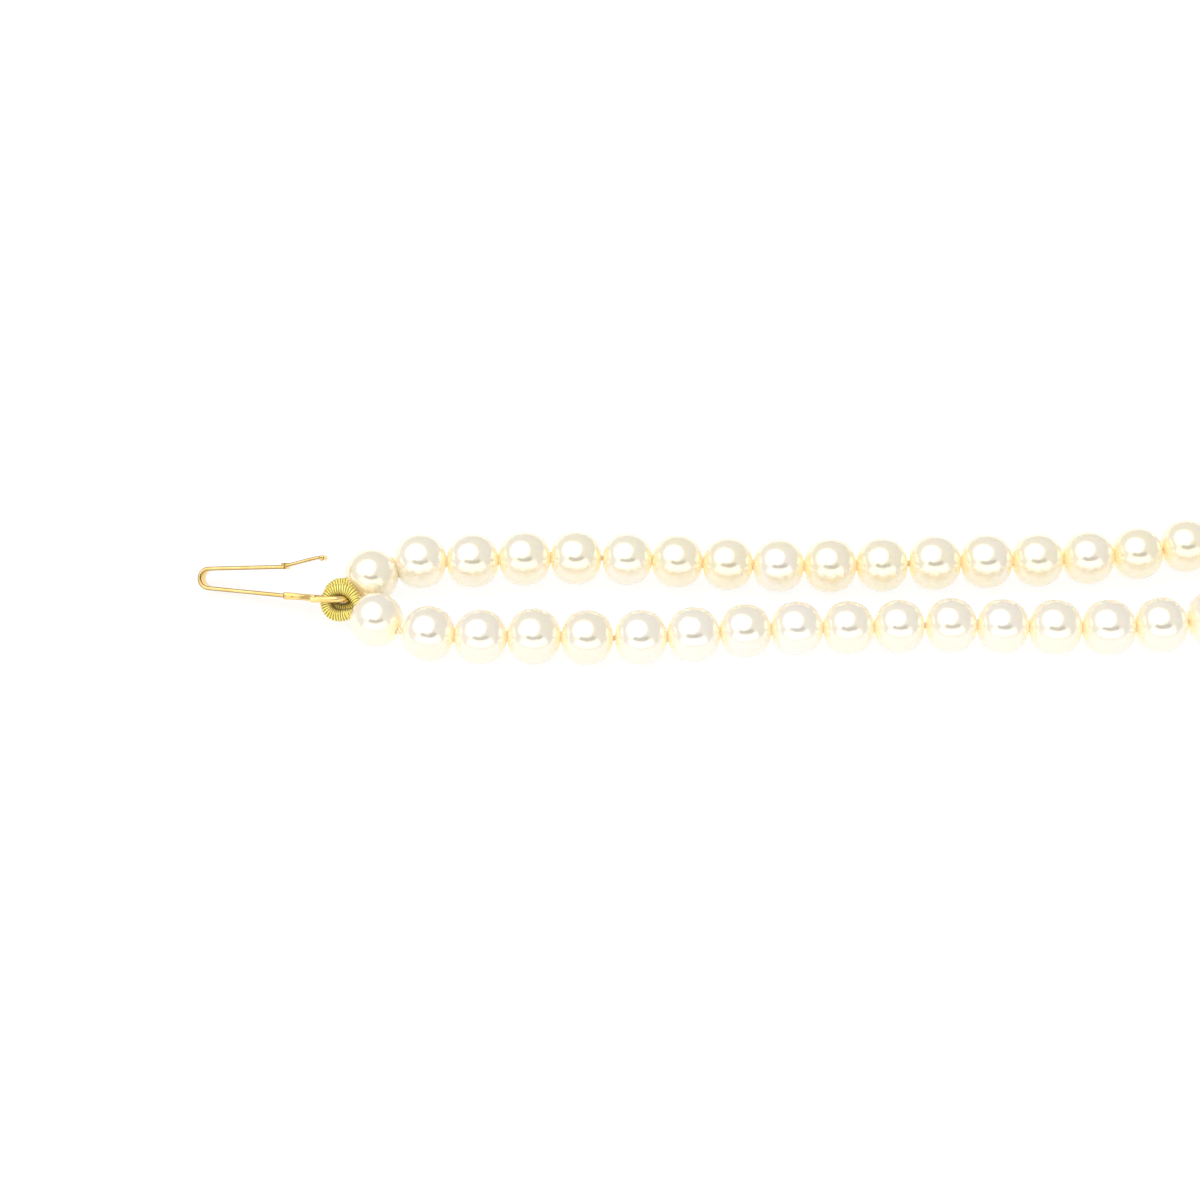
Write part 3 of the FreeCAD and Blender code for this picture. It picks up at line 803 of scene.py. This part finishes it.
def make_hook():
    bend = arc_2d(BEND_CENTRE, BEND_RADIUS, 270 - SHANK_SLOPE, 90 + ARM_SLOPE, 40)
    drop = (SHANK_END_S - bend[0][0]) * math.tan(math.radians(SHANK_SLOPE))
    shank_end = (SHANK_END_S, bend[0][1] - drop)
    shank = line_2d(shank_end, bend[0], 40)
    arm = line_2d(bend[-1], ARM_END, 30)
    path = shank[:-1] + bend + arm[1:]
    shape = Shape()
    add_strip(shape, HOOK, path, STRIP_THICK, STRIP_WIDE)
    strip = shape.make("hook_strip", HOOK_GOLD, 50)
    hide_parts("hook_shank")
    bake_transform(strip)

    step = Shape()
    catch = line_2d((CATCH_S, CATCH_T - STEP_HALF_HEIGHT), (CATCH_S, CATCH_T + STEP_HALF_HEIGHT), 5)
    add_strip(step, HOOK, catch, STEP_THICK, STRIP_WIDE, corner=0.27, shade=0.3)
    tab_path = spline(TAB_PATH, 12)
    add_strip(step, HOOK, tab_path, TAB_THICK, np.linspace(TAB_START_WIDE, TAB_WIDE, len(tab_path)))
    curl = arc_2d(CURL_CENTRE, CURL_RADIUS, 130, -200, 22)
    add_strip(step, HOOK, curl, CURL_THICK, TAB_WIDE, corner=0.1)
    tab = step.make("hook_thumb_tab", HOOK_GOLD, 50)
    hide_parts("hook_spring_arm")
    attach(tab, "hook_spring")


# The ferrule's sections along s: each one's s, t, thickness, width and how much painted shade it gets, as
# painted dark lines at its ends and a painted reflection streak across its middle.
FERRULE = (
    (-7.19, 0.24, 0.62, 2.16, 0.9), (-7.14, 0.24, 0.74, 2.28, 0.8), (-7.02, 0.235, 0.80, 2.36, 0.1),
    (-6.1, 0.17, 0.76, 2.30, 0.0), (-5.2, 0.10, 0.70, 2.30, 0.3), (-4.6, 0.05, 0.72, 2.62, 0.0),
    (-4.0, 0.0, 0.78, 3.1, 0.0), (-3.5, -0.04, 0.78, 3.5, 0.2), (-3.32, -0.05, 0.70, 3.5, 0.6),
)
FERRULE_CORNER = 0.2


def make_ferrule():
    """A flat sleeve, pinched at its waist, that grips the strip and the eye's two legs."""
    shape = Shape()
    rings, tints = [], []
    for s, t, thick, wide, shade in FERRULE:
        outline = strip_section(thick, wide, FERRULE_CORNER)
        ring = [HOOK.at(s, t + n_off, w_off) for n_off, w_off in outline]
        rings.append(np.array(ring))
        tints.append((shade, 0.0, 0.0, 1.0))
    shape.add_rings(rings, tints=tints)
    piece = shape.make("hook_sleeve", HOOK_GOLD, 50)
    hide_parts("hook_ferrule")
    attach(piece, "hook")


# ---------------------------------------------------------------- the box

BOX_CENTRE_S = -9.62
BOX_AXES = (10.0, 2.8, 2.4)
SHELL_START, SHELL_STOP = -15.52, -3.72
# Each row of piercings: its tilt round the barrel, its pitch and its number of holes.
PIERCING_ROWS = ((0.0, 1.75, 7), (30.0, 1.75, 6), (-30.0, 1.75, 6))
COLLET_RADIUS, COLLET_WIRE = 0.52, 0.085
TRIM_INSET = 0.02
BEADS = (0.34, 0.07, 0.17)
CAST_VOXEL = 0.075


def cast_copy(node, name):
    """A copy of a CAD node with its edges rounded as a casting's are."""
    obj = bpy.data.objects.new(name, frame["nodes"][node].data.copy())
    bpy.context.scene.collection.objects.link(obj)
    remesh = obj.modifiers.new("remesh", "REMESH")
    remesh.mode = "VOXEL"
    remesh.voxel_size = CAST_VOXEL * MM
    smooth = obj.modifiers.new("smooth", "SMOOTH")
    smooth.factor = 0.5
    smooth.iterations = 3
    graph = bpy.context.evaluated_depsgraph_get()
    mesh = bpy.data.meshes.new_from_object(obj.evaluated_get(graph))
    obj.modifiers.clear()
    obj.data = mesh
    mesh.materials.clear()
    mesh.materials.append(BOX_GOLD)
    tint = mesh.attributes.new("tint", "FLOAT_COLOR", "POINT")
    tint.data.foreach_set("color", np.tile(np.float32(rgb(0, 0, 0)), len(mesh.vertices)))
    mesh.shade_smooth()
    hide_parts(node)
    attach(obj, "box")
    return obj


def barrel_share(s):
    return math.sqrt(max(0.0, 1 - ((s - BOX_CENTRE_S) / BOX_AXES[0]) ** 2))


def beaded(shape, path, pitch, low, high, closed=False):
    """A beaded wire: round beads that run into each other."""
    fine = resample(path, pitch / 8)
    if closed:
        fine = fine[:-1]
    swell = np.abs(np.sin(np.arange(len(fine)) * math.pi / 8))
    tube(shape, fine, low + (high - low) * swell, 8, closed=closed)


def make_box_trim():
    seam = Shape()
    for side in (-1, 1):
        line = [BOX.at(s, side * (BOX_AXES[1] * barrel_share(s) - TRIM_INSET), 0)
                for s in np.linspace(SHELL_START, SHELL_STOP, 80)]
        beaded(seam, line, *BEADS)
    for s in (SHELL_START, SHELL_STOP):
        wide = BOX_AXES[1] * barrel_share(s) - TRIM_INSET
        high = BOX_AXES[2] * barrel_share(s) - TRIM_INSET
        ring = [BOX.at(s, wide * math.cos(a), high * math.sin(a)) for a in np.linspace(0, 2 * math.pi, 121)]
        beaded(seam, ring, *BEADS, closed=True)
    trim = seam.make("box_beaded_trim", BOX_GOLD, 80)
    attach(trim, "box")
    for label, side in (("top", 1), ("bottom", -1)):
        collets = Shape()
        middle = (SHELL_START + SHELL_STOP) / 2
        for tilt, pitch, count in PIERCING_ROWS:
            a = math.radians(tilt)
            for i in range(count):
                s = middle + (i - (count - 1) / 2) * pitch
                slope = math.hypot(math.sin(a) / BOX_AXES[1], math.cos(a) / BOX_AXES[2])
                reach = barrel_share(s) / slope
                t, w = reach * math.sin(a), side * reach * math.cos(a)
                normal = unit(np.array([(s - BOX_CENTRE_S) / BOX_AXES[0] ** 2, t / BOX_AXES[1] ** 2,
                                        w / BOX_AXES[2] ** 2]))
                first = unit(np.cross(normal, [0.0, 1.0, 0.0]))
                second = np.cross(normal, first)
                ring = [np.array([s, t, w]) + (first * math.cos(u) + second * math.sin(u)) * COLLET_RADIUS
                        for u in np.linspace(0, 2 * math.pi, 29)[:-1]]
                tube(collets, BOX.line(ring), COLLET_WIRE, 8, closed=True)
        piece = collets.make(f"box_{label}_collets", BOX_GOLD, 80)
        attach(piece, "box")


def make_box():
    castings = ("box_top_shell", "box_bottom_shell", "box_end_plate", "box_mouth_plate", "box_catch_bar")
    for node in castings:
        cast_copy(node, node + "_cast")
    make_box_trim()
    make_eye("box_eye", BOX, BOX_EYE_T, BOX_GOLD, "box")


# ---------------------------------------------------------------- stage, light and camera

FLOOR_HALF_SIZE = 6.0
FLOOR_Z = -0.00005


def make_floor():
    material, n = new_material("white_paper")
    place = n.add("ShaderNodeTexCoord").outputs["Object"]
    grain = n.noise(place, 900, 3.0)
    colour = n.mix(grain, rgb(0.24, 0.24, 0.24), rgb(0.27, 0.27, 0.27))
    finish_material(n, {
        "Base Color": colour, "Roughness": 0.9, "Specular IOR Level": 0.2,
        "Emission Color": rgb(1, 1, 1), "Emission Strength": 0.80,
    })
    mesh = bpy.data.meshes.new("studio_floor")
    corners = [(x * FLOOR_HALF_SIZE, y * FLOOR_HALF_SIZE, FLOOR_Z)
               for x, y in ((-1, -1), (1, -1), (1, 1), (-1, 1))]
    mesh.from_pydata(corners, [], [(0, 1, 2, 3)])
    mesh.materials.append(material)
    floor = bpy.data.objects.new("studio_floor", mesh)
    bpy.context.scene.collection.objects.link(floor)


# The room's light, as a strength from each direction.
WALL_LEVEL = 0.67
ABOVE_LEVEL = 1.1
ABOVE_DIRECTION = (-0.32, 0.02, 0.95)
FRONT_LEVEL = 0.85
GAP_DARKNESS = 0.92


def make_world():
    """A white room: one window overhead, one low in front, and a dark gap between them."""
    world = bpy.data.worlds.new("studio")
    bpy.context.scene.world = world
    world.use_nodes = True
    n = Nodes(world.node_tree)
    direction = n.add("ShaderNodeTexCoord").outputs["Generated"]
    xyz = n.add("ShaderNodeSeparateXYZ", {"Vector": direction})
    x, y, z = xyz.outputs
    height = n.math("ARCSINE", z)
    around = n.math("ARCTAN2", x, n.math("MULTIPLY", y, -1.0))

    def band(value, low, high, soft):
        low, high, soft = math.radians(low), math.radians(high), math.radians(soft)
        rise = n.ramp(value, low - soft, low + soft)
        fall = n.ramp(value, high - soft, high + soft, 1.0, 0.0)
        return n.math("MULTIPLY", rise, fall)

    gap = n.math("MULTIPLY", band(height, 38, 53, 3), band(around, -42, 44, 7))
    front = n.math("MULTIPLY", band(height, 6, 36, 4), band(around, -54, 54, 8))
    overhead = n.add("ShaderNodeVectorMath", {0: direction, 1: ABOVE_DIRECTION}, operation="DOT_PRODUCT")
    above = n.ramp(overhead.outputs["Value"], math.cos(math.radians(43)), math.cos(math.radians(34)))
    level = n.math("ADD", WALL_LEVEL, n.math("MULTIPLY", above, ABOVE_LEVEL))
    level = n.math("ADD", level, n.math("MULTIPLY", front, FRONT_LEVEL))
    level = n.math("MULTIPLY", level, n.math("SUBTRACT", 1.0, n.math("MULTIPLY", gap, GAP_DARKNESS)))
    background = n.add("ShaderNodeBackground", {"Color": rgb(1.0, 0.985, 0.965), "Strength": level})
    output = n.add("ShaderNodeOutputWorld")
    n.tree.links.new(background.outputs[0], output.inputs[0])


LAMP_SIZE = (0.5, 0.4)
LAMP_POWER = 0.4
LAMP_PLACE = (-0.20, 0.05, 0.75)


def make_light():
    light = bpy.data.lights.new("overhead_softbox", "AREA")
    light.shape = "RECTANGLE"
    light.size, light.size_y = LAMP_SIZE
    light.energy = LAMP_POWER
    lamp = bpy.data.objects.new("overhead_softbox", light)
    lamp.location = LAMP_PLACE
    lamp.rotation_euler = (Vector((0, 0, 0)) - lamp.location).to_track_quat("-Z", "Y").to_euler()
    bpy.context.scene.collection.objects.link(lamp)


# The camera looks along +Y from the front, at a point this far from the hook's frame, in mm.
CAMERA_ELEVATION = 52.5
CAMERA_DISTANCE = 369.0
AIM_FROM_LINK = np.array([27.9, -0.3, 0.0])


def make_camera():
    elevation = math.radians(CAMERA_ELEVATION)
    aim = HOOK.origin + AIM_FROM_LINK
    back = np.array([0.0, -math.cos(elevation), math.sin(elevation)])
    data = bpy.data.cameras.new("camera")
    data.lens, data.sensor_width = 100, 36
    data.clip_start, data.clip_end = 0.01, 20
    camera = bpy.data.objects.new("camera", data)
    camera.location = Vector((aim + back * CAMERA_DISTANCE) * MM)
    camera.rotation_euler = Vector(-back).to_track_quat("-Z", "Y").to_euler()
    bpy.context.scene.collection.objects.link(camera)
    bpy.context.scene.camera = camera


make_camera()
make_floor()
make_world()
make_light()
bpy.context.scene.view_settings.view_transform = "Standard"

END_PEARLS = {strand: make_strand(strand) for strand in STRANDS}
for strand in STRANDS:
    first, last = END_PEARLS[strand]
    make_loop(f"hook_loop_{strand}", HOOK, *HOOK_LOOPS[strand], first.entry(), first.axis, "hook_loops")
    make_loop(f"box_loop_{strand}", BOX, *BOX_LOOPS[strand], last.exit(), -last.axis, "box_loops")
make_eye("hook_eye", HOOK, HOOK_EYE_T, HOOK_GOLD, "hook")
make_hook()
make_ferrule()
make_box()
